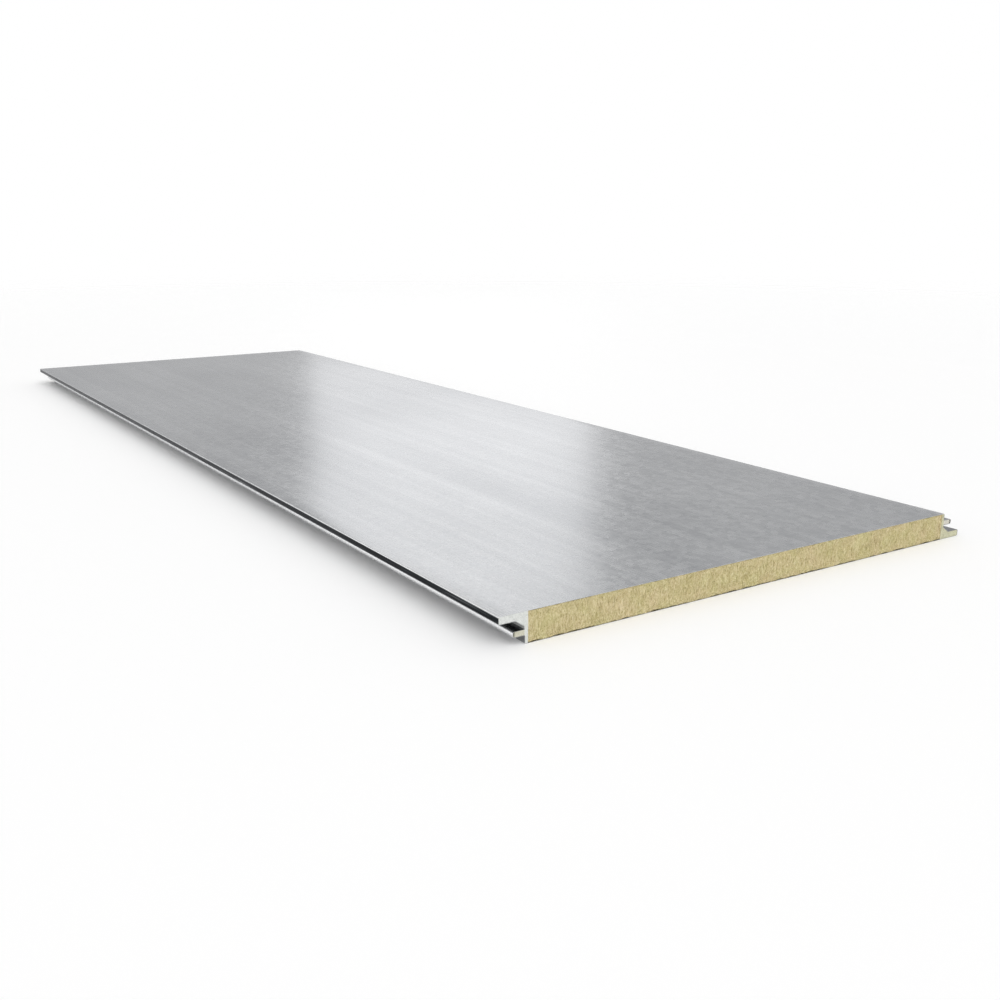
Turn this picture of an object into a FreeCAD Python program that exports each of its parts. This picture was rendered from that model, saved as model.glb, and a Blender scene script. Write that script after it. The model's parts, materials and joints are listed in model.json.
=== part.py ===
# Insulated wall panel: two roll-formed steel sheets bonded to a mineral wool core, with foam-sealed
# edges that lap the next panel. Millimetres. +Y runs along the panel, +X across it, +Z through it.
# The origin is at the middle of the underside. The section looks the same after a half turn about the
# panel's long axis, so one sheet profile makes both sheets and one edge seal makes both seals.

import FreeCAD, Part
import math
import os

# Driving dimensions
panel_length = 3000.0
cover_width = 1000.0  # width of wall that one panel covers
panel_thickness = 50.0
sheet_gauge = 0.6
bend_radius = 1.5  # inside radius of the folds
lip_reach = 45.0  # broad lip, from the edge face out to its tip
lip_depth = 12.5
lip_root_run = 16.0  # width of the slope that carries the lip
tongue_reach = 21.0  # narrow tongue, from the edge face out to its nose
tongue_depth = 9.5
nose_flat = 1.5  # flat left on the tongue's nose, between its two folds
lap_clearance = 0.6  # between a lip and the neighbour's tongue that it covers
butt_gap = 1.0  # between a lip's tip and the neighbour's edge face
thermal_break = 4.0  # bare foam on an edge face, between the two sheets
seal_strip = 6.0  # foam between an edge face and the wool

# Places in the section that follow from them
edge_face = (cover_width - lip_reach - butt_gap) / 2
core_face = edge_face - seal_strip
lip_underside = panel_thickness - lip_depth
tongue_top = lip_underside - lap_clearance
tongue_underside = tongue_top - tongue_depth
lip_root = panel_thickness - tongue_underside + thermal_break
nose_radius = (tongue_depth - nose_flat) / 2 - sheet_gauge  # inside the folds of the nose
fill_end = edge_face + tongue_reach - sheet_gauge - nose_radius  # the rolled nose itself is hollow


def at(x, z):
    """A point of the section, on the panel's near end."""
    return FreeCAD.Vector(x, -panel_length / 2, z)


def half_turned(point):
    """Where a point of the section goes when the panel is turned over about its long axis."""
    return at(-point.x, panel_thickness - point.z)


def left_of(direction):
    """The unit direction to the left of one in the section."""
    return FreeCAD.Vector(-direction.z, 0, direction.x)


def directions(corners):
    """Unit directions of the runs between corners."""
    return [(end - start).normalize() for start, end in zip(corners, corners[1:])]


def line_beside(corners, distance):
    """Corners of the line that runs beside these, a set distance to the left."""
    runs = directions(corners)
    beside = [corners[0] + left_of(runs[0]) * distance]
    for corner, arriving, leaving in zip(corners[1:], runs, runs[1:]):
        mitre = left_of(arriving) + left_of(leaving)
        beside.append(corner + mitre * (distance / (1 + arriving.dot(leaving))))
    beside.append(corners[-1] + left_of(runs[-1]) * distance)
    return beside


def fold_radii(corners, inside_radii, depth):
    """Radii of a sheet's folds, measured at a depth below its outer face, which is on the right."""
    runs = directions(corners)
    radii = []
    for arriving, leaving, inside in zip(runs, runs[1:], inside_radii):
        turns_left = left_of(arriving).dot(leaving) > 0
        radii.append(inside + (sheet_gauge - depth if turns_left else depth))
    return radii


def straight(*points):
    """Straight edges from each point to the next."""
    return [Part.LineSegment(start, end).toShape() for start, end in zip(points, points[1:])]


def folded(corners, radii):
    """Edges of an open line through the corners, with an arc at each inner one."""
    edges = []
    start = corners[0]
    runs = directions(corners)
    for corner, arriving, leaving, radius in zip(corners[1:], runs, runs[1:], radii):
        half_angle = arriving.getAngle(leaving) / 2
        setback = radius * math.tan(half_angle)
        arc_start = corner - arriving * setback
        arc_end = corner + leaving * setback
        towards_centre = (leaving - arriving).normalize()
        arc_middle = corner + towards_centre * (radius / math.cos(half_angle) - radius)
        edges += straight(start, arc_start)
        edges.append(Part.Arc(arc_start, arc_middle, arc_end).toShape())
        start = arc_end
    return edges + straight(start, corners[-1])


def extruded(edges):
    """A solid the length of the panel, with these edges as its section."""
    section = Part.Face(Part.Wire(Part.sortEdges(edges)[0]))
    return section.extrude(FreeCAD.Vector(0, panel_length, 0))


def turned_over(solid):
    """A copy of a solid, turned half round about the panel's long axis."""
    copy = solid.copy()
    copy.rotate(FreeCAD.Vector(0, 0, panel_thickness / 2), FreeCAD.Vector(0, 1, 0), 180)
    return copy


# The top sheet's outer corners, from the end of the tongue's fold on the right to the lip's root on
# the left, and the inside radius of the fold at each corner between
sheet_outside = [
    at(edge_face, tongue_underside),
    at(edge_face + tongue_reach, tongue_underside),
    at(edge_face + tongue_reach, tongue_top),
    at(edge_face, tongue_top),
    at(edge_face, panel_thickness),
    at(-edge_face - lip_reach, panel_thickness),
    at(-edge_face - lip_reach, lip_underside),
    at(-edge_face - lip_root_run, lip_underside),
    at(-edge_face, lip_root),
]
sheet_inside = line_beside(sheet_outside, sheet_gauge)
inside_radii = [nose_radius] * 2 + [bend_radius] * 5
outer_folds = fold_radii(sheet_outside, inside_radii, 0)
inner_folds = fold_radii(sheet_outside, inside_radii, sheet_gauge)
nose_folds = 2
tongue_folds = 4  # those of the nose and two at the edge face, before those of the lip


def steel_sheet():
    """The top sheet: tongue, flat face and lip, folded from one strip of steel."""
    outer = folded(sheet_outside, outer_folds)
    inner = folded(sheet_inside, inner_folds)
    ends = straight(sheet_outside[0], sheet_inside[0]) + straight(sheet_outside[-1], sheet_inside[-1])
    return extruded(outer + inner + ends)


def edge_seal():
    """The left foam seal: it fills the top sheet's lip, and the bottom sheet's tongue up to its nose."""
    core_top = at(-core_face, panel_thickness - sheet_gauge)
    core_bottom = at(-core_face, sheet_gauge)
    lip_corners = [core_top] + sheet_inside[tongue_folds + 1 :]
    tongue_end = half_turned(sheet_inside[0])
    fill_top = half_turned(at(fill_end, tongue_underside + sheet_gauge))
    fill_bottom = half_turned(at(fill_end, tongue_top - sheet_gauge))
    step_corners = [half_turned(corner) for corner in sheet_inside[nose_folds + 1 : tongue_folds + 1]]
    in_lip = folded(lip_corners, inner_folds[tongue_folds:])
    bare_face = straight(lip_corners[-1], sheet_outside[-1], half_turned(sheet_outside[0]), tongue_end)
    in_tongue = straight(tongue_end, fill_top, fill_bottom)
    in_step = folded([fill_bottom, *step_corners, core_bottom], inner_folds[nose_folds:tongue_folds])
    return extruded(in_lip + bare_face + in_tongue + in_step + straight(core_bottom, core_top))


def wool_core():
    """The mineral wool between the sheets and the two seals."""
    corner = at(-core_face, sheet_gauge)
    return Part.makeBox(2 * core_face, panel_length, panel_thickness - 2 * sheet_gauge, corner)


top_sheet = steel_sheet()
left_seal = edge_seal()
pieces = {
    "top_steel_sheet": top_sheet,
    "bottom_steel_sheet": turned_over(top_sheet),
    "left_edge_seal": left_seal,
    "right_edge_seal": turned_over(left_seal),
    "wool_core": wool_core(),
}

os.makedirs("parts", exist_ok=True)
for name, piece in pieces.items():
    piece.exportStep(f"parts/{name}.step")
    print(f"{name}: valid {piece.isValid()}, {piece.Volume / 1000:.1f} cm3")
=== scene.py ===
"""Looks of the insulated wall panel: galvanised sheets, fibrous wool ends and foam edge seals.

Metres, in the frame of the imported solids: +Y along the panel, +X across it, +Z up.
"""

import json
import math

import bpy
import numpy as np
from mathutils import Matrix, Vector
from mathutils.geometry import delaunay_2d_cdt


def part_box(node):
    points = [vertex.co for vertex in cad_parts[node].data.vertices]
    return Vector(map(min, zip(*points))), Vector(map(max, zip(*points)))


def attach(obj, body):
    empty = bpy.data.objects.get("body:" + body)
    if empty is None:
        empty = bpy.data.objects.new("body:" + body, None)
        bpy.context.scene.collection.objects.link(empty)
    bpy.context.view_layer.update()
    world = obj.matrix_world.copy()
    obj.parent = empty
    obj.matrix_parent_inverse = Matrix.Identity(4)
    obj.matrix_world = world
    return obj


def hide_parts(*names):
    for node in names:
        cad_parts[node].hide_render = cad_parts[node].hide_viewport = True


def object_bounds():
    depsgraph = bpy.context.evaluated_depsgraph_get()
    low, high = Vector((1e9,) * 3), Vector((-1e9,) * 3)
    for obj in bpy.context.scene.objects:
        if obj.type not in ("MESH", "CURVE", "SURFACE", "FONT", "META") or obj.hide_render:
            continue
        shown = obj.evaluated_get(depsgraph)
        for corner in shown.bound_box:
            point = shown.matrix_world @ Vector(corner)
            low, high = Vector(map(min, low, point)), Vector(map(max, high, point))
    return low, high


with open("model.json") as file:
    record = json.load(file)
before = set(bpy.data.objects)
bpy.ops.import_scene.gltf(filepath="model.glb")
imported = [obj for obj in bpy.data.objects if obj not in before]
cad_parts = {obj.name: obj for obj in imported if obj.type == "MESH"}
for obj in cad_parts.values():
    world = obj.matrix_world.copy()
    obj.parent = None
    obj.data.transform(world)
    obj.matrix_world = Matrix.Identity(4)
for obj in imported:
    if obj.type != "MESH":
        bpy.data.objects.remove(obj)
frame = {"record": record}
cad_low, cad_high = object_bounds()

MM = 0.001

# Sizes read from the frame
panel_length = cad_high.y - cad_low.y
panel_thickness = cad_high.z
lip_tip = cad_high.x
core_low, core_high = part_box("wool_core")
core_face = core_high.x
core_half_depth = (core_high.z - core_low.z) / 2
sheet_gauge = core_low.z
sheet_low, sheet_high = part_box("top_steel_sheet")
tongue_nose = sheet_high.x
lip_root = sheet_low.z
mounts = {mount["name"]: mount for mount in frame["record"]["mounts"]}
edge_face = mounts["right_lap_joint"]["pos_m"][0]

# Sizes of the rolled edge profile, as in the solids
bend_radius = 1.5 * MM
lip_depth = 12.5 * MM
lip_root_run = 16 * MM
tongue_depth = 9.5 * MM
nose_flat = 1.5 * MM
lap_clearance = 0.6 * MM
lip_underside = panel_thickness - lip_depth
tongue_top = lip_underside - lap_clearance
tongue_underside = tongue_top - tongue_depth
nose_radius = (tongue_depth - nose_flat) / 2 - sheet_gauge
fill_end = tongue_nose - sheet_gauge - nose_radius

# Steel sheets
SHEET_SEED = 7
SHEET_STATIONS = 101  # cross-sections along the length
FOLD_STEPS = 8  # straight parts of each rounded fold
RUN_PARTS = (2, 1, 2, 2, 40, 2, 2, 2)  # of each run, from the tongue's underside round to the lip's root
FACE_RUN = 4  # the run that is the panel's broad face
NOSE_FOLDS = 2
TONGUE_FOLDS = 4
# Painted shade and dark reflection on each run and each fold between two runs, in the same order; below
# 0 is a painted highlight, brighter than the broad face
RUN_PAINTED_SHADE = (0.7, -0.9, 0.3, 0.5, 0.0, 1.0, 0.5, 0.4)
FOLD_PAINTED_SHADE = (0.0, -0.7, 0.4, -0.5, -0.7, -0.6, 0.4)
WAVE_DEPTH = 0.8 * MM  # of the shallow waves in the broad faces
WAVE_COUNT = 14
WAVE_WIDTH = 0.3  # the shortest, across the panel
WAVE_LENGTH = 0.35  # the shortest, along the panel
LEAST_ALONG = 0.3  # the shortest wave along the panel, as a share of the longest
WAVE_EDGE_FADE = 0.09
WAVE_END_FADE = 0.12
SHEET_SHARP_DEGREES = 40  # edges that turn more than this stay crisp

# Foam seals
SEAL_SEED = 17
SEAL_STATIONS = 61
FOAM_RIM_SPACING = 1.2 * MM  # of the points around a cut end
FOAM_SPACING = 1.0 * MM  # of the points within it
FOAM_JITTER = 0.35  # share of the spacing
FOAM_RIM_CLEARANCE = 0.6  # share of the spacing
PIT_DEPTH = 0.7 * MM  # of the deepest open cells
SHALLOWEST_PIT = 0.05  # square root of its share of that depth
RIM_PIT_DEPTHS = (0.1 * MM, 0.4 * MM)

# Wool core
WOOL_SEED = 27
WOOL_COLUMN = 0.8 * MM  # width of a column of the relief
WOOL_ROWS = 36
ROW_CROWDING = 0.7  # how much closer together the rows are beside the sheets
# Blur of each kind of relief, in rows and columns
STRAND_BLUR = (1.1, 0.5)
CLUMP_BLUR = (3, 7)
GRAIN_BLUR = (0.4, 0.4)
RAGGED_BLUR = (1, 7)
# Depth behind the cut plane: its mean, and what each kind of relief does to it
WOOL_DEPTH = 1.1 * MM
STRAND_RELIEF = 0.28 * MM
CLUMP_RELIEF = 0.1 * MM
GRAIN_RELIEF = 0.12 * MM
WORN_RELIEF = 2.2 * MM
LEAST_WOOL_DEPTH = 0.1 * MM
MOST_WOOL_DEPTH = 5 * MM
# The same for its tint, where 1 is the lightest: raised relief is lighter and sunk relief darker, partly
# the wool's own colour and partly painted shade in the hollows
WOOL_TINT = 0.5
STRAND_TINT = 0.1
CLUMP_TINT = 0.03
GRAIN_TINT = 0.15
# Painted shade: the worn strip beside the sheets is darkened, as its recess would be in shadow
WORN_PAINTED_SHADE = 0.35
# The strip beside the sheets where the wool is worn away: its height and its wear, with their spread
WORN_HEIGHT = 0.9 * MM
WORN_HEIGHT_SPREAD = 0.6 * MM
LEAST_WORN_HEIGHT = 0.2 * MM
WORN_SHARE = 0.7
WORN_SHARE_SPREAD = 0.6
MOST_WORN = 1.2
SIDE_CLEARANCE = 0.4 * MM  # between the wool's long sides and the deepest waves of the sheets
SIDE_START = 10 * MM  # from a cut end to where the long sides are fully set in
WOOL_SHARP_DEGREES = 60

# Loose fibres on each cut end
FIBRE_COUNT = 8000
FIBRE_RINGS = 4
FIBRE_SIDES = 3
FIBRE_LENGTHS = (4 * MM, 11 * MM)
FIBRE_RADII = (0.06 * MM, 0.12 * MM)
FIBRE_TAPER = 0.7
FIBRE_LEAN = 0.5  # spread of the angle from upright, in radians
FIBRE_CURL = 0.6  # spread of the turn from root to tip
FIBRE_RISE = 0.35 * MM  # mean height of its arch over the relief
FIBRE_ARCH = 0.8  # share of a half wave, so that the tip stays a little above the root
MOST_PROUD = 1.2 * MM
FIBRE_INSET = 0.5 * MM  # from the sheets and the seals
FIBRE_TINTS = (0.2, 1.3)


# Section lines: points are complex numbers, x + z j


def half_turned(points):
    """The points after the panel is turned over about its long axis."""
    return -np.asarray(points) + panel_thickness * 1j


def directions(corners):
    """Unit directions of the runs between corners."""
    runs = np.diff(corners)
    return runs / np.abs(runs)


def line_beside(corners, distance):
    """Corners of the line that runs beside these, a set distance to the left."""
    runs = directions(corners)
    shift = np.empty(len(corners), complex)
    shift[0] = 1j * runs[0]
    shift[-1] = 1j * runs[-1]
    turn_cosine = (runs[1:] * runs[:-1].conj()).real
    shift[1:-1] = 1j * (runs[1:] + runs[:-1]) / (1 + turn_cosine)
    return corners + shift * distance


def fold_radii(corners, inside_radii, depth):
    """Radii of a sheet's folds, measured at a depth below its outer face, which is on the right."""
    runs = directions(corners)
    turns_left = (runs[1:] * runs[:-1].conj()).imag > 0
    return inside_radii + np.where(turns_left, sheet_gauge - depth, depth)


def folded(corners, radii, run_parts):
    """Points along an open line with rounded corners, and the run that each point belongs to.

    run_parts is the number of equal parts of each run. A point within a fold is part-way between runs.
    """
    runs = directions(corners)
    starts = corners.copy()
    ends = corners.copy()
    half_angles = np.abs(np.angle(runs[1:] / runs[:-1])) / 2
    setbacks = radii * np.tan(half_angles)
    ends[1:-1] = corners[1:-1] - runs[:-1] * setbacks
    starts[1:-1] = corners[1:-1] + runs[1:] * setbacks
    points = []
    places = []
    for run, parts in enumerate(run_parts):
        along = np.linspace(0, 1, parts + 1)
        points.extend(starts[run] + (ends[run + 1] - starts[run]) * along)
        places.extend([run] * (parts + 1))
        if run < len(run_parts) - 1:
            turn = np.angle(runs[run + 1] / runs[run])
            centre = ends[run + 1] + 1j * np.sign(turn) * runs[run] * radii[run]
            share = np.arange(1, FOLD_STEPS) / FOLD_STEPS
            points.extend(centre + (ends[run + 1] - centre) * np.exp(1j * turn * share))
            places.extend(run + share)
    return np.array(points), np.array(places)


# The top sheet's outer corners, from the tongue's underside on the right to the lip's root on the left
sheet_outside = np.array(
    [
        edge_face + tongue_underside * 1j,
        tongue_nose + tongue_underside * 1j,
        tongue_nose + tongue_top * 1j,
        edge_face + tongue_top * 1j,
        edge_face + panel_thickness * 1j,
        -lip_tip + panel_thickness * 1j,
        -lip_tip + lip_underside * 1j,
        -edge_face - lip_root_run + lip_underside * 1j,
        -edge_face + lip_root * 1j,
    ]
)
sheet_inside = line_beside(sheet_outside, sheet_gauge)
inside_radii = np.array([nose_radius] * 2 + [bend_radius] * 5)
outer_folds = fold_radii(sheet_outside, inside_radii, 0)
inner_folds = fold_radii(sheet_outside, inside_radii, sheet_gauge)


# Mesh helpers


def along_panel(count):
    """Places along the panel's length, evenly spaced from its near end to its far end."""
    return np.linspace(-panel_length / 2, panel_length / 2, count)


def new_piece(name, vertices, faces, node):
    """A mesh object that rides on the panel, and may stand for a frame's node."""
    mesh = bpy.data.meshes.new(name)
    mesh.from_pydata([tuple(v) for v in vertices], [], [tuple(int(i) for i in f) for f in faces])
    mesh.validate()
    piece = bpy.data.objects.new(name, mesh)
    bpy.context.scene.collection.objects.link(piece)
    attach(piece, "root")
    if node:
        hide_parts(node)
    return piece


def set_attribute(piece, name, values):
    """Stores one number for each vertex, for the piece's material."""
    attribute = piece.data.attributes.new(name, "FLOAT", "POINT")
    attribute.data.foreach_set("value", np.asarray(values, np.float32))


def lay_out(piece, places):
    """Gives a piece its texture map: for each corner of its faces a place u + v j, from 0 to 1."""
    margin = 0.004
    corners = np.concatenate([np.ravel(part) for part in places])
    corners = corners * (1 - 2 * margin) + margin * (1 + 1j)
    pairs = np.stack([corners.real, corners.imag], 1)
    layer = piece.data.uv_layers.new(name="OFBake")
    layer.uv.foreach_set("vector", pairs.astype(np.float32).ravel())


def shade_smooth(piece, sharp_degrees):
    """Smooth shading that stays crisp at edges sharper than an angle."""
    piece.data.polygons.foreach_set("use_smooth", [True] * len(piece.data.polygons))
    piece.data.set_sharp_from_angle(angle=math.radians(sharp_degrees))


def strip_faces(first_row, second_row):
    """Quads between two rows of vertex numbers, or their corners between two rows of map places."""
    return np.stack([first_row[:-1], first_row[1:], second_row[1:], second_row[:-1]], 1)


def blurred(field, blur):
    """A field of noise, smoothed by a bell curve over rows and columns and scaled to a spread of 1."""
    radii_reached = 3
    for axis, radius in enumerate(blur):
        reach = max(1, int(radii_reached * radius))
        weights = np.exp(-0.5 * (np.arange(-reach, reach + 1) / radius) ** 2)
        padded = np.concatenate([field, field, field], axis)
        size = field.shape[axis]
        middle = slice(size, 2 * size)
        smooth = np.apply_along_axis(np.convolve, axis, padded, weights / weights.sum(), "same")
        field = smooth[middle] if axis == 0 else smooth[:, middle]
    return (field - field.mean()) / field.std()


# Steel sheets


def eased(share):
    """A share kept from 0 to 1, with a soft start and end."""
    share = np.clip(share, 0, 1)
    return share**2 * (3 - 2 * share)


def sheet_waves(x, y, random):
    """Depth of the shallow waves in a bonded sheet's broad face, none at its edges and ends."""
    total = np.zeros_like(x)
    for _ in range(WAVE_COUNT):
        across = random.uniform(-1, 1) * 2 * math.pi / WAVE_WIDTH
        along = random.uniform(LEAST_ALONG, 1) * 2 * math.pi / WAVE_LENGTH
        total += np.sin(across * x + along * y + random.uniform(0, 2 * math.pi))
    share = 0.5 + 0.5 * np.tanh(total / math.sqrt(WAVE_COUNT))
    edge_fade = eased((core_face - np.abs(x)) / WAVE_EDGE_FADE)
    end_fade = eased((panel_length / 2 - np.abs(y)) / WAVE_END_FADE)
    return WAVE_DEPTH * share * edge_fade * end_fade


def painted_shade_along_sheet(places):
    """Painted shade and dark reflection at places along a sheet's runs and folds, with a painted
    highlight below 0.
    """
    runs = np.arange(len(RUN_PAINTED_SHADE))
    marks = np.concatenate([runs, runs[:-1] + 0.5])
    marked = np.concatenate([RUN_PAINTED_SHADE, FOLD_PAINTED_SHADE])
    order = np.argsort(marks)
    return np.interp(places, marks[order], marked[order])


def sheet_map(outer):
    """A sheet's texture map: its outer face rolled out flat, with strips for its inner face and ends."""
    outer_width = 0.94
    inner_width = 0.04
    inner_end = 0.99
    end_height = 0.01j
    far_end = 0.02j
    faces_start = 0.04
    steps = np.abs(np.diff(outer))
    across = np.append(0, steps.cumsum() / steps.sum())
    around = np.concatenate([outer_width * across, inner_end - inner_width * across[::-1], [1]])
    rows = np.add.outer(1j * np.linspace(faces_start, 1, SHEET_STATIONS), around)
    places = [strip_faces(second, first) for first, second in zip(rows, rows[1:])]
    for low, order in ((across, 1), (across + far_end, -1)):
        places.append(strip_faces(low, low + end_height)[:, ::order])
    return places


def steel_sheet(name, turned_over):
    """One rolled sheet, with smooth folds and shallow waves in its face."""
    outer, places = folded(sheet_outside, outer_folds, RUN_PARTS)
    inner, _ = folded(sheet_inside, inner_folds, RUN_PARTS)
    ring = np.concatenate([outer, inner[::-1]])
    ring_places = np.concatenate([places, places[::-1]])
    stations = along_panel(SHEET_STATIONS)
    x = np.tile(ring.real, (SHEET_STATIONS, 1))
    y = np.tile(stations[:, None], (1, len(ring)))
    z = np.tile(ring.imag, (SHEET_STATIONS, 1))
    random = np.random.default_rng(SHEET_SEED + turned_over)
    z = z - np.where(np.isclose(ring_places, FACE_RUN), sheet_waves(x, y, random), 0)
    if turned_over:
        x, z = -x, panel_thickness - z
    vertices = np.stack([x, y, z], -1).reshape(-1, 3)
    numbers = np.arange(x.size).reshape(x.shape)
    closed = np.concatenate([numbers, numbers[:, :1]], 1)
    faces = [strip_faces(second, first) for first, second in zip(closed, closed[1:])]
    half = len(outer)
    for row, order in ((numbers[0], 1), (numbers[-1], -1)):
        faces.append(strip_faces(row[:half], row[half:][::-1])[:, ::order])
    node = name.replace("rolled_", "")
    piece = new_piece(name, vertices, np.concatenate(faces), node)
    # painted shade and dark reflection for each vertex, with a painted highlight where below 0
    set_attribute(piece, "painted_shade_and_highlight", np.tile(painted_shade_along_sheet(ring_places), SHEET_STATIONS))
    lay_out(piece, sheet_map(outer))
    shade_smooth(piece, SHEET_SHARP_DEGREES)
    return piece


# Foam seals


def seal_outline():
    """Closed outline of the left seal's section: in the lip, down the bare face and in the tongue."""
    core_top = -core_face + (panel_thickness - sheet_gauge) * 1j
    core_bottom = -core_face + sheet_gauge * 1j
    lip_corners = np.concatenate([[core_top], sheet_inside[TONGUE_FOLDS + 1 :]])
    in_lip, _ = folded(lip_corners, inner_folds[TONGUE_FOLDS:], [1, 1, 1, 1])
    fill_top = half_turned([fill_end + (tongue_underside + sheet_gauge) * 1j])
    fill_bottom = half_turned([fill_end + (tongue_top - sheet_gauge) * 1j])
    step = half_turned(sheet_inside[NOSE_FOLDS + 1 : TONGUE_FOLDS + 1])
    step_corners = np.concatenate([fill_bottom, step, [core_bottom]])
    in_step, _ = folded(step_corners, inner_folds[NOSE_FOLDS:TONGUE_FOLDS], [1, 1, 1])
    bare_face = [sheet_outside[-1], *half_turned([sheet_outside[0], sheet_inside[0]])]
    return np.concatenate([in_lip, bare_face, fill_top, in_step])


def spaced_out(outline, spacing):
    """A closed outline with points added, so that none are further apart than the spacing."""
    points = []
    for start, end in zip(outline, np.roll(outline, -1)):
        parts = max(1, math.ceil(abs(end - start) / spacing))
        points.extend(start + (end - start) * np.arange(parts) / parts)
    return np.array(points)


def filled(outline, spacing, random):
    """Points and triangles over a closed outline, with loosely placed points inside it."""
    low = complex(outline.real.min(), outline.imag.min())
    columns = int((outline.real.max() - low.real) / spacing) + 1
    rows = int((outline.imag.max() - low.imag) / spacing) + 1
    grid = np.add.outer(1j * np.arange(rows), np.arange(columns)).ravel() * spacing + low
    jitter = random.uniform(-FOAM_JITTER, FOAM_JITTER, (len(grid), 2)) * spacing
    loose = grid + jitter[:, 0] + 1j * jitter[:, 1]
    from_rim = np.abs(loose[:, None] - outline[None, :]).min(1)
    points = np.concatenate([outline, loose[from_rim >= FOAM_RIM_CLEARANCE * spacing]])
    ring = list(range(len(outline)))
    edges = list(zip(ring, ring[1:] + ring[:1]))
    inside_only = 1
    same_place = 1e-9
    flat_points = [Vector((p.real, p.imag)) for p in points]
    result = delaunay_2d_cdt(flat_points, edges, [], inside_only, same_place)
    return np.array([complex(*v) for v in result[0]]), np.array(result[2])


def seal_map(cap, triangles, rim):
    """A seal's texture map: its two cut ends side by side, and a strip for its long sides."""
    end_width = 0.49
    end_height = 0.8j
    far_end = 0.51
    sides_start = 0.82
    across = (cap.real - cap.real.min()) / np.ptp(cap.real)
    height = (cap.imag - cap.imag.min()) / np.ptp(cap.imag)
    end = end_width * across + end_height * height
    rows = np.add.outer(np.linspace(0, 1, SEAL_STATIONS), 1j * np.linspace(sides_start, 1, rim + 1))
    sides = [strip_faces(second, first) for first, second in zip(rows, rows[1:])]
    return [end[triangles], end[triangles[:, ::-1]] + far_end, *sides]


def foam_seal(name, turned_over):
    """A foam seal: smooth where the sheets hold it, cellular where it was cut at the ends."""
    random = np.random.default_rng(SEAL_SEED + turned_over)
    outline = spaced_out(seal_outline(), FOAM_RIM_SPACING)
    rim = len(outline)
    cap, triangles = filled(outline, FOAM_SPACING, random)
    stations = along_panel(SEAL_STATIONS)
    vertices = []
    faces = []
    pits = []
    for station, inwards in ((stations[0], 1), (stations[-1], -1)):
        depths = random.uniform(SHALLOWEST_PIT, 1, len(cap)) ** 2 * PIT_DEPTH
        depths[:rim] = random.uniform(*RIM_PIT_DEPTHS, rim)
        faces.extend(triangles[:, ::inwards] + len(vertices))
        vertices.extend(np.stack([cap.real, station + inwards * depths, cap.imag], 1))
        pits.extend(depths / PIT_DEPTH)
    rows = [np.arange(rim)]
    for station in stations[1:-1]:
        rows.append(np.arange(rim) + len(vertices))
        vertices.extend(np.stack([outline.real, np.full(rim, station), outline.imag], 1))
        pits.extend([0] * rim)
    rows.append(np.arange(rim) + len(cap))
    rings = [np.concatenate([row, row[:1]]) for row in rows]
    for first, second in zip(rings, rings[1:]):
        faces.extend(strip_faces(second, first))
    vertices = np.array(vertices)
    if turned_over:
        vertices[:, 0] *= -1
        vertices[:, 2] = panel_thickness - vertices[:, 2]
    piece = new_piece(name, vertices, faces, name.replace("foam_", ""))
    # how deep each cut pit is, which the foam's colour darkens as painted shade
    set_attribute(piece, "pit", pits)
    beside_tongue = (vertices[:, 2] < panel_thickness / 2) != turned_over
    set_attribute(piece, "in_tongue", beside_tongue & (np.abs(vertices[:, 0]) > edge_face))
    lay_out(piece, seal_map(cap, triangles, rim))
    return piece


# Wool core


class WoolEnd:
    """The relief of one cut end: how far behind the cut plane the wool lies, and how light it is."""

    def __init__(self, random):
        columns = round(2 * core_face / WOOL_COLUMN) + 1
        share = np.linspace(0, 1, WOOL_ROWS)
        height = share - ROW_CROWDING * np.sin(2 * math.pi * share) / (2 * math.pi)
        self.x = np.linspace(-core_face, core_face, columns)
        self.z = core_low.z + 2 * core_half_depth * height
        shape = (WOOL_ROWS, columns)
        strands = blurred(random.normal(size=shape), STRAND_BLUR)
        clumps = blurred(random.normal(size=shape), CLUMP_BLUR)
        grains = blurred(random.normal(size=shape), GRAIN_BLUR)
        worn = self.worn_edges(blurred(random.normal(size=(1, columns)), RAGGED_BLUR)[0])
        raised = STRAND_RELIEF * strands + CLUMP_RELIEF * clumps + GRAIN_RELIEF * grains
        depth = WOOL_DEPTH - raised + WORN_RELIEF * worn**2
        self.depth = np.clip(depth, LEAST_WOOL_DEPTH, MOST_WOOL_DEPTH)
        # lighter where the relief is raised and darker where it sinks: partly painted shade in the
        # hollows
        lighter = STRAND_TINT * strands + CLUMP_TINT * clumps + GRAIN_TINT * grains
        # painted shade darkens the worn strip beside the sheets
        self.tint = np.clip(WOOL_TINT + lighter - WORN_PAINTED_SHADE * worn, 0, 1)

    def worn_edges(self, ragged):
        """How far the wool is worn away beside the sheets, by a ragged value for each column."""
        from_sheet = core_half_depth - np.abs(self.z - panel_thickness / 2)[:, None]
        height = np.maximum(WORN_HEIGHT + WORN_HEIGHT_SPREAD * ragged, LEAST_WORN_HEIGHT)
        share = np.clip(WORN_SHARE + WORN_SHARE_SPREAD * ragged, 0, MOST_WORN)
        return np.clip(1 - from_sheet / height, 0, 1) * share

    def depth_at(self, x, z):
        """Depth of the relief at its points nearest to these places."""
        columns = np.clip(np.searchsorted(self.x, x), 0, len(self.x) - 1)
        rows = np.clip(np.searchsorted(self.z, z), 0, len(self.z) - 1)
        return self.depth[rows, columns]


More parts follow.
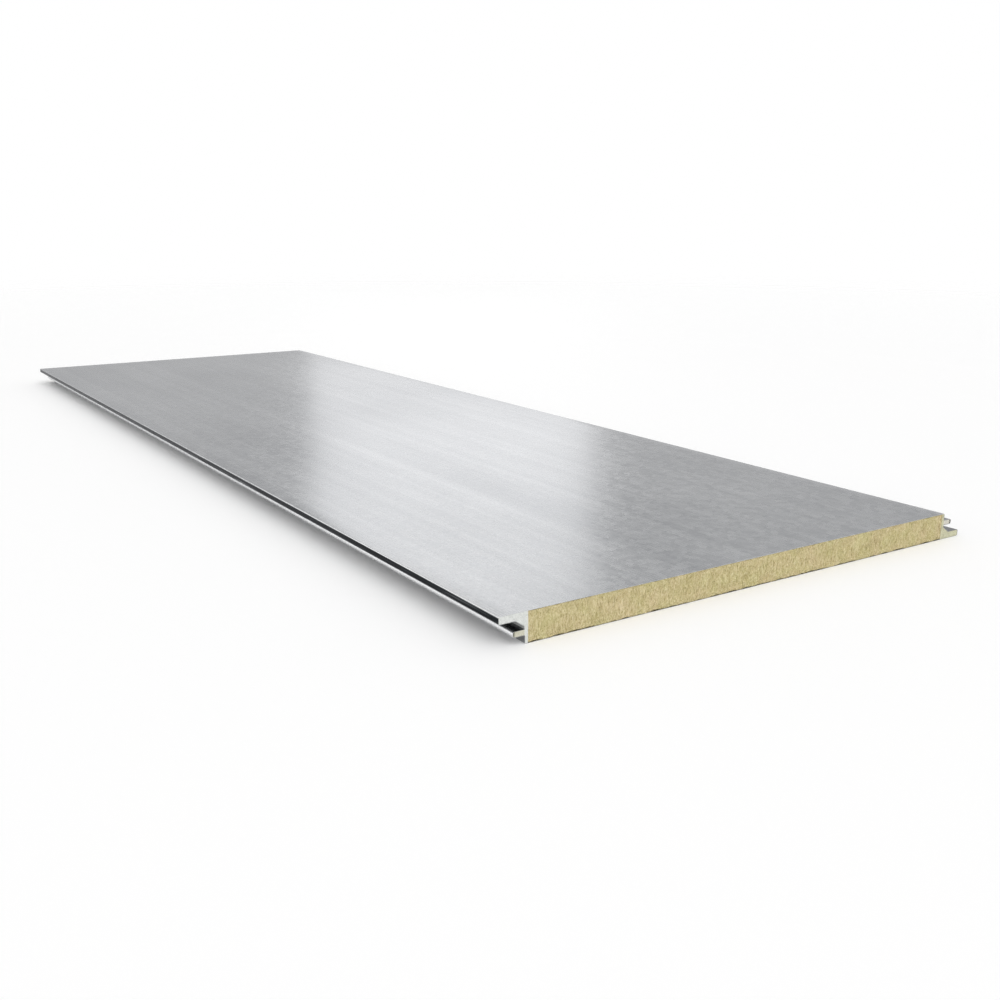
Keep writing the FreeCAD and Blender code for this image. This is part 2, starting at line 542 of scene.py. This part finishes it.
def wool_map(columns, rim):
    """The wool's texture map: each cut end in bands, one above the other, and strips for its sides."""
    bands = 4
    band_margin = 0.02
    end_height = 0.46
    side_levels = 1j * np.array([0.93, 0.945, 0.985, 1])
    across = bands * np.linspace(0, 1, columns)
    up = np.linspace(band_margin, 1 - band_margin, WOOL_ROWS)
    rows = np.add.outer(1j * up, across)
    corners = np.concatenate([strip_faces(low, high) for low, high in zip(rows, rows[1:])])
    band = np.floor(corners.real.mean(1, keepdims=True))
    end = corners.real - band + 1j * end_height * (corners.imag + band) / bands
    turn = np.linspace(0, 1, rim)
    strips = zip(side_levels, side_levels[1:])
    sides = [strip_faces(turn + high, turn + low) for low, high in strips]
    return [end, end[:, ::-1] + 1j * end_height, *sides]


def wool_core(ends):
    """The mineral wool: two cut ends, joined by plain sides a little behind the wavy sheets."""
    vertices = []
    faces = []
    tints = []
    rims = []
    for wool_end, outwards in zip(ends, (-1, 1)):
        grid_x, grid_z = np.meshgrid(wool_end.x, wool_end.z)
        grid_y = outwards * (panel_length / 2 - wool_end.depth)
        numbers = len(vertices) + np.arange(grid_x.size).reshape(grid_x.shape)
        vertices.extend(np.stack([grid_x, grid_y, grid_z], -1).reshape(-1, 3))
        tints.extend(wool_end.tint.ravel())
        quads = np.concatenate([strip_faces(low, high) for low, high in zip(numbers, numbers[1:])])
        faces.extend(quads[:, ::-outwards])
        around = [numbers[0], numbers[1:, -1], numbers[-1, -2::-1], numbers[-2::-1, 0]]
        rims.append(np.concatenate(around))
    set_in = WAVE_DEPTH + SIDE_CLEARANCE
    rings = []
    for rim, outwards in zip(rims, (-1, 1)):
        ring = np.array([vertices[number] for number in rim])
        ring[:, 0] *= 1 - set_in / core_face
        ring[:, 1] = outwards * (panel_length / 2 - SIDE_START)
        ring[:, 2] += (panel_thickness / 2 - ring[:, 2]) * set_in / core_half_depth
        rings.append(len(vertices) + np.arange(len(ring)))
        vertices.extend(ring)
        tints.extend([WOOL_TINT] * len(ring))
    for first, second in ((rings[0], rims[0]), (rings[1], rings[0]), (rims[1], rings[1])):
        faces.extend(strip_faces(first, second))
    piece = new_piece("fibrous_wool_core", vertices, faces, "wool_core")
    set_attribute(piece, "tint", tints)
    lay_out(piece, wool_map(len(ends[0].x), len(rims[0])))
    shade_smooth(piece, WOOL_SHARP_DEGREES)
    return piece


def one_fibre():
    """Faces of one fibre, by its own vertex numbers, and the places of their corners in its own map."""
    tip = FIBRE_RINGS * FIBRE_SIDES
    faces = [tuple(range(FIBRE_SIDES))[::-1]]
    places = [1, 0.5 - 0.2j, 0]
    up = 1j / FIBRE_RINGS
    for ring in range(FIBRE_RINGS):
        for side in range(FIBRE_SIDES):
            first = ring * FIBRE_SIDES + side
            second = ring * FIBRE_SIDES + (side + 1) % FIBRE_SIDES
            left = side / FIBRE_SIDES + ring * up
            right = left + 1 / FIBRE_SIDES
            if ring == FIBRE_RINGS - 1:
                faces.append((first, second, tip))
                places += [left, right, (left + right) / 2 + up]
            else:
                faces.append((first, second, second + FIBRE_SIDES, first + FIBRE_SIDES))
                places += [left, right, right + up, left + up]
    return faces, np.array(places)


def fibre_map(places):
    """The fibres' texture map: a square of cells, one for each fibre."""
    in_row = math.ceil(math.sqrt(FIBRE_COUNT))
    number = np.arange(FIBRE_COUNT)
    cells = number % in_row + number // in_row * 1j
    margin = 0.1 + 0.25j
    size = 0.7
    return np.add.outer(cells, margin + size * places) / in_row


def loose_fibres(name, wool_end, outwards, random):
    """Fine fibres that lie over a cut end, mostly upright: closed tubes that taper to a point."""
    each = (FIBRE_COUNT, 1)
    share = np.linspace(0, 1, FIBRE_RINGS + 1)
    length = random.uniform(*FIBRE_LENGTHS, each)
    heading = random.normal(0, FIBRE_LEAN, each) + math.pi * random.integers(0, 2, each)
    heading = heading + random.normal(0, FIBRE_CURL, each) * share
    x = random.uniform(-core_face, core_face, each) + length * share * np.sin(heading)
    z = random.uniform(core_low.z, core_high.z, each) + length * share * np.cos(heading)
    x = np.clip(x, -core_face + FIBRE_INSET, core_face - FIBRE_INSET)
    z = np.clip(z, core_low.z + FIBRE_INSET, core_high.z - FIBRE_INSET)
    arch = random.exponential(FIBRE_RISE, each) * np.sin(math.pi * FIBRE_ARCH * share)
    proud = np.minimum(arch - wool_end.depth_at(x, z), MOST_PROUD)
    y = outwards * (panel_length / 2 + proud)
    radius = random.uniform(*FIBRE_RADII, each) * (1 - FIBRE_TAPER * share)
    upwards = np.where(z[:, -1:] > z[:, :1], 1, -1)[:, :, None]
    angles = upwards * 2 * math.pi * np.arange(FIBRE_SIDES) / FIBRE_SIDES
    tube_x = x[:, :-1, None] + radius[:, :-1, None] * np.cos(angles)
    tube_y = y[:, :-1, None] + radius[:, :-1, None] * np.sin(angles)
    tube_z = np.repeat(z[:, :-1, None], FIBRE_SIDES, -1)
    tubes = np.stack([tube_x, tube_y, tube_z], -1).reshape(FIBRE_COUNT, -1, 3)
    tips = np.stack([x[:, -1:], y[:, -1:], z[:, -1:]], -1)
    vertices = np.concatenate([tubes, tips], 1)
    per_fibre = vertices.shape[1]
    fibre_faces, fibre_places = one_fibre()
    faces = []
    for start in range(0, FIBRE_COUNT * per_fibre, per_fibre):
        faces.extend([number + start for number in face] for face in fibre_faces)
    piece = new_piece(name, vertices.reshape(-1, 3), faces, None)
    set_attribute(piece, "tint", np.repeat(random.uniform(*FIBRE_TINTS, FIBRE_COUNT), per_fibre))
    lay_out(piece, fibre_map(fibre_places))
    return piece


# Materials


class Nodes:
    """The node tree of a material or world, with short calls to add and join nodes."""

    def __init__(self, owner, shader):
        owner.use_nodes = True
        self.owner = owner
        self.tree = owner.node_tree
        self.shader = self.tree.nodes[shader]

    def add(self, kind, settings=None, **sockets):
        """A node of a kind, its settings, and its sockets set to values or joined to other sockets."""
        node = self.tree.nodes.new(kind)
        for name, value in (settings or {}).items():
            setattr(node, name, value)
        for name, value in sockets.items():
            self.put(node.inputs[name.replace("_", " ")], value)
        return node

    def put(self, socket, value):
        """Sets a socket, or joins it to another node's socket."""
        if isinstance(value, bpy.types.NodeSocket):
            self.tree.links.new(value, socket)
        else:
            socket.default_value = value

    def finish(self, **sockets):
        """Sets the shader's own sockets, or joins them to other nodes."""
        for name, value in sockets.items():
            self.put(self.shader.inputs[name.replace("_", " ")], value)

    def coordinates(self, scale):
        """The piece's own coordinates, stretched by a scale for each axis."""
        source = self.add("ShaderNodeTexCoord")
        mapping = self.add("ShaderNodeMapping", Vector=source.outputs["Object"], Scale=scale)
        return mapping.outputs["Vector"]

    def noise(self, scale, detail=3.0, roughness=0.55):
        """Fractal noise, whose scale is the number of features in a metre along each axis."""
        place = self.coordinates(scale)
        settings = {"Vector": place, "Scale": 1.0, "Detail": detail, "Roughness": roughness}
        return self.add("ShaderNodeTexNoise", **settings).outputs["Fac"]

    def cells(self, scale, raggedness=0.0):
        """Voronoi cells, whose scale is their number in a metre, with edges that may be ragged."""
        place = self.coordinates((scale, scale, scale))
        if raggedness:
            wobble = self.add("ShaderNodeTexNoise", Vector=place, Scale=2.5, Detail=3.0)
            moved = self.add("ShaderNodeVectorMath", {"operation": "MULTIPLY_ADD"})
            reach = (raggedness, raggedness, raggedness)
            for socket, value in zip(moved.inputs, (wobble.outputs["Color"], reach, place)):
                self.put(socket, value)
            place = moved.outputs["Vector"]
        return self.add("ShaderNodeTexVoronoi", Vector=place, Scale=1.0)

    def attribute(self, name):
        """A number stored on the mesh."""
        return self.add("ShaderNodeAttribute", {"attribute_name": name}).outputs["Fac"]

    def math(self, operation, *values):
        """One arithmetic step."""
        node = self.add("ShaderNodeMath", {"operation": operation})
        for socket, value in zip(node.inputs, values):
            self.put(socket, value)
        return node.outputs[0]

    def total(self, *weighted, start=0.0):
        """The sum of sources, each times its weight."""
        result = start
        for source, weight in weighted:
            result = self.math("MULTIPLY_ADD", source, weight, result)
        return result

    def spread(self, value, low, high, new_low=0.0, new_high=1.0):
        """A value moved from one range to another, and kept within it."""
        node = self.add("ShaderNodeMapRange", Value=value)
        limits = {"From Min": low, "From Max": high, "To Min": new_low, "To Max": new_high}
        for name, limit in limits.items():
            self.put(node.inputs[name], limit)
        return node.outputs["Result"]

    def ramp(self, factor, places, colours):
        """A colour ramp with a colour at each place."""
        node = self.add("ShaderNodeValToRGB", Fac=factor)
        elements = node.color_ramp.elements
        while len(elements) < len(places):
            elements.new(1.0)
        for element, place, colour in zip(elements, places, colours):
            element.position = place
            element.color = (*colour, 1.0)
        return node.outputs["Color"]

    def mixed(self, share, first, second):
        """Two colours mixed, where a share of 1 is all of the second."""
        node = self.add("ShaderNodeMix", {"data_type": "RGBA"})
        colour_inputs = [socket for socket in node.inputs if socket.type == "RGBA"]
        for socket, source in zip((node.inputs["Factor"], *colour_inputs), (share, first, second)):
            self.put(socket, source)
        return next(socket for socket in node.outputs if socket.type == "RGBA")

    def bump(self, height, strength, distance):
        """The normal of a relief with this height."""
        node = self.add("ShaderNodeBump", Height=height, Strength=strength, Distance=distance)
        return node.outputs["Normal"]


def new_material(name):
    """The nodes of a new material."""
    return Nodes(bpy.data.materials.new(name), "Principled BSDF")


def srgb(red, green, blue):
    """A screen colour, 0 to 255, as linear light."""
    shares = [c / 255 for c in (red, green, blue)]
    return tuple(s / 12.92 if s <= 0.04045 else ((s + 0.055) / 1.055) ** 2.4 for s in shares)


def galvanised_steel():
    """Zinc-coated rolled steel: lengthwise streaks and faint crystals, with painted dark reflection and
    shade on the edge runs and folds, and painted highlights on the nose and folds.
    """
    nodes = new_material("galvanised_steel")
    streaks = nodes.noise((320, 0.7, 320), detail=4)
    dashes = nodes.noise((600, 9, 600), detail=3)
    bands = nodes.noise((30, 0.2, 30), detail=2)
    clouds = nodes.noise((2.4, 1.1, 2.4), detail=3)
    crystals = nodes.cells(80, raggedness=1.1).outputs["Color"]
    grains = nodes.cells(230, raggedness=1.1).outputs["Color"]
    painted_shade_and_highlight = nodes.attribute("painted_shade_and_highlight")
    # painted highlight: the part below 0 lightens the zinc on the nose and folds
    painted_highlight = nodes.math("MINIMUM", painted_shade_and_highlight, 0.0)
    tone = nodes.total(
        (bands, 0.2), (streaks, 0.25), (clouds, 0.36), (crystals, 0.17), (grains, 0.08), (painted_highlight, -0.6)
    )
    zinc_tones = (0.3, 0.5, 1.0)
    zinc_colours = ((0.42, 0.43, 0.445), (0.56, 0.57, 0.58), (0.94, 0.945, 0.95))
    zinc = nodes.ramp(tone, zinc_tones, zinc_colours)
    # streak pattern of the painted shade and dark reflection on the edge runs
    rolled = nodes.total((dashes, 0.45), (streaks, 0.55))
    dark_tones = (0.42, 0.53, 0.61, 0.7)
    black = (0.004, 0.005, 0.006)
    dark_colours = (black, (0.015, 0.018, 0.02), (0.1, 0.105, 0.11), (0.35, 0.36, 0.37))
    dark = nodes.ramp(rolled, dark_tones, dark_colours)
    nodes.finish(
        Base_Color=nodes.mixed(painted_shade_and_highlight, zinc, dark),
        Metallic=1.0,
        Specular_Tint=(0.7, 0.7, 0.71, 1.0),
        Roughness=nodes.total((streaks, 0.1), (crystals, 0.08), start=0.17),
        Normal=nodes.bump(streaks, strength=0.05, distance=0.1 * MM),
    )
    return nodes.owner


def mineral_wool():
    """Straw-coloured wool: fine upright fibres, darker between the strands where its bump sinks, partly
    painted shade, with soft patches of hue.
    """
    nodes = new_material("mineral_wool")
    strands = nodes.noise((1000, 1000, 450), detail=4, roughness=0.65)
    threads = nodes.noise((3000, 3000, 380), detail=3)
    patches = nodes.noise((22, 22, 26), detail=2)
    # one tone sets both colour and bump, so the hollows are darker: partly painted shade
    tone = nodes.total((threads, 0.53), (strands, 0.62), (nodes.attribute("tint"), 0.4))
    tones = (0.54, 0.68, 0.8, 0.93)
    greenish = (srgb(130, 120, 76), srgb(178, 168, 118), srgb(198, 189, 142), srgb(222, 213, 172))
    pinkish = (srgb(134, 119, 80), srgb(183, 168, 126), srgb(203, 188, 148), srgb(226, 212, 177))
    hues = [nodes.ramp(tone, tones, colours) for colours in (greenish, pinkish)]
    nodes.finish(
        Base_Color=nodes.mixed(nodes.spread(patches, 0.35, 0.65), *hues),
        Roughness=0.95,
        Specular_IOR_Level=0.15,
        Normal=nodes.bump(tone, strength=0.5, distance=0.4 * MM),
    )
    return nodes.owner


def rigid_foam(name, in_lip, in_tongue):
    """Fine-celled rigid foam, darker towards its cell walls, with painted shade in its deeper cut pits,
    and its own shades in the lip and the tongue.
    """
    nodes = new_material(name)
    cells = nodes.cells(750).outputs["Distance"]
    mottle = nodes.noise((120, 120, 120), detail=4)
    # the pit term is painted shade: darker in the deeper pits
    tone = nodes.total((mottle, 0.6), (cells, -0.2), (nodes.attribute("pit"), -0.25), start=0.55)
    tones = (0.3, 0.8)
    shades = [nodes.ramp(tone, tones, colours) for colours in (in_lip, in_tongue)]
    nodes.finish(
        Base_Color=nodes.mixed(nodes.attribute("in_tongue"), *shades),
        Roughness=0.85,
        Specular_IOR_Level=0.25,
        Normal=nodes.bump(cells, strength=0.4, distance=0.3 * MM),
    )
    return nodes.owner


# The object

steel = galvanised_steel()
for name, turned_over in (("rolled_top_steel_sheet", False), ("rolled_bottom_steel_sheet", True)):
    steel_sheet(name, turned_over).data.materials.append(steel)
whites = (srgb(188, 190, 187), srgb(222, 224, 221))
warm_whites = (srgb(170, 168, 148), srgb(210, 208, 192))
left_seal = foam_seal("foam_left_edge_seal", False)
left_seal.data.materials.append(rigid_foam("white_foam", whites, warm_whites))
creams = (srgb(166, 162, 132), srgb(206, 205, 178))
pale_creams = (srgb(178, 174, 160), srgb(214, 211, 201))
right_seal = foam_seal("foam_right_edge_seal", True)
right_seal.data.materials.append(rigid_foam("cream_foam", creams, pale_creams))
wool = mineral_wool()
wool_random = np.random.default_rng(WOOL_SEED)
wool_ends = [WoolEnd(wool_random), WoolEnd(wool_random)]
wool_core(wool_ends).data.materials.append(wool)
for name, wool_end, outwards in zip(("near_end_fibres", "far_end_fibres"), wool_ends, (-1, 1)):
    loose_fibres(name, wool_end, outwards, wool_random).data.materials.append(wool)


# Floor, light and camera


def place_and_aim(thing, place, aim):
    """Puts a lamp or camera into the scene at a place, turned towards a point."""
    thing.location = place
    thing.rotation_euler = (Vector(aim) - Vector(place)).to_track_quat("-Z", "Y").to_euler()
    bpy.context.scene.collection.objects.link(thing)


def pale_floor():
    """A wide pale floor just under the panel, which fades into the white surroundings."""
    reach = 12.0
    fade_start = 2.5
    fade_end = 8.0
    height = -0.3 * MM
    glow = 0.06  # lifts the lit floor to the white of the surroundings, and lights nothing
    corners = [(x * reach, y * reach, height) for x, y in ((-1, -1), (1, -1), (1, 1), (-1, 1))]
    mesh = bpy.data.meshes.new("floor")
    mesh.from_pydata(corners, [], [(0, 1, 2, 3)])
    floor = bpy.data.objects.new("floor", mesh)
    bpy.context.scene.collection.objects.link(floor)
    nodes = new_material("pale_floor")
    place = nodes.add("ShaderNodeTexCoord").outputs["Object"]
    length = nodes.add("ShaderNodeVectorMath", {"operation": "LENGTH"}, Vector=place)
    distance = length.outputs["Value"]
    rays = nodes.add("ShaderNodeLightPath").outputs
    seen = [(rays[kind], glow) for kind in ("Is Camera Ray", "Is Glossy Ray", "Is Transmission Ray")]
    nodes.finish(
        Base_Color=(0.96, 0.96, 0.96, 1.0),
        Roughness=0.7,
        Specular_IOR_Level=0.2,
        Emission_Strength=nodes.total(*seen),
        Alpha=nodes.spread(distance, fade_start, fade_end, 1.0, 0.0),
    )
    mesh.materials.append(nodes.owner)


def surroundings():
    """A white studio that also shows in the metal, where its ceiling is dimmer than its walls."""
    white = 1.0
    ceiling = 0.68
    ceiling_starts = 0.3  # sine of the angle above the horizon
    light = 0.7
    nodes = Nodes(bpy.data.worlds.new("studio"), "Background")
    bpy.context.scene.world = nodes.owner
    rays = nodes.add("ShaderNodeLightPath").outputs
    direction = nodes.add("ShaderNodeTexCoord").outputs["Generated"]
    height = nodes.add("ShaderNodeSeparateXYZ", Vector=direction).outputs["Z"]
    in_metal = nodes.spread(height, 0.0, ceiling_starts, white, ceiling)
    strength = nodes.spread(rays["Is Glossy Ray"], 0.0, 1.0, light, in_metal)
    strength = nodes.spread(rays["Is Transmission Ray"], 0.0, 1.0, strength, white)
    strength = nodes.spread(rays["Is Camera Ray"], 0.0, 1.0, strength, white)
    nodes.finish(Color=(1, 1, 1, 1), Strength=strength)


def broad_sun():
    """A soft, even light from high in front of the near end."""
    place = (-0.6, -3.2, 3.4)
    middle = (0, 0, 0)
    lamp = bpy.data.lights.new("key", "SUN")
    lamp.angle = math.radians(60)
    lamp.energy = 1.2
    place_and_aim(bpy.data.objects.new("key", lamp), place, middle)


def ring_of_softboxes():
    """Square lamps around the panel that only show in the metal."""
    count = 5
    ring_radius = 6.2
    ring_height = 2.0
    first_turn = 0.092  # share of a whole turn, from behind the far end
    aim = (0, -0.5, 0)
    for number in range(count):
        name = f"softbox_{number}"
        lamp = bpy.data.lights.new(name, "AREA")
        lamp.size = 2.4
        lamp.energy = 17
        softbox = bpy.data.objects.new(name, lamp)
        softbox.visible_camera = False
        softbox.visible_diffuse = False
        azimuth = 2 * math.pi * (first_turn + number / count)
        place = (ring_radius * math.sin(azimuth), ring_radius * math.cos(azimuth), ring_height)
        place_and_aim(softbox, place, aim)


def camera():
    """The view of the photograph: low, from the left of the near end."""
    place = (-1.32, -2.722, 0.6)
    aim = (-0.112, -0.879, 0.025)
    data = bpy.data.cameras.new("camera")
    data.lens = 40
    data.sensor_width = 36
    view = bpy.data.objects.new("camera", data)
    place_and_aim(view, place, aim)
    bpy.context.scene.camera = view


pale_floor()
surroundings()
broad_sun()
ring_of_softboxes()
camera()
bpy.context.scene.view_settings.view_transform = "Standard"
